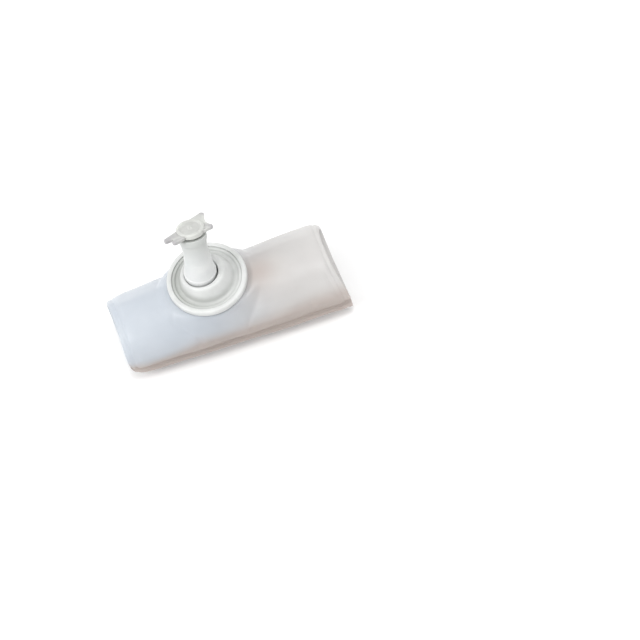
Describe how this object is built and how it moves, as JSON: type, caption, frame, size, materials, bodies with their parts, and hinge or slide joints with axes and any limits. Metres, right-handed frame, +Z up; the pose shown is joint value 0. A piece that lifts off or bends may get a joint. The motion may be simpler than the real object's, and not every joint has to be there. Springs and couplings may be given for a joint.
{
  "type": "inflatable finger splint",
  "caption": "Short double-walled air sleeve of milky film that holds a finger straight, with a round air valve and winged cap on top.",
  "frame": {"origin": "middle of the sleeve's length and width, on the surface that it lies on", "axes": "+X along the finger towards the knuckle, +Z up through the valve, +Y to the side that the stem leans to"},
  "size_m": [0.0645, 0.0247, 0.0404],
  "materials": {
    "film": "milky clear soft film, satin sheen",
    "soft_valve": "soft milky plastic, satin",
    "stem": "milky plastic, smooth",
    "cap": "milky plastic, smooth"
  },
  "bodies": {
    "splint": {"air_sleeve": "film", "valve_flange": "soft_valve", "valve_stem": "stem"},
    "cap": {"valve_cap": "cap"}
  },
  "joints": [
    {"name": "cap_twist", "type": "hinge", "parent": "splint", "child": "cap", "pos_m": [-0.00352, 0.00589, 0.03651], "axis": [0.0833, 0.3743, 0.9236], "range_deg": [0, 90]}
  ]
}
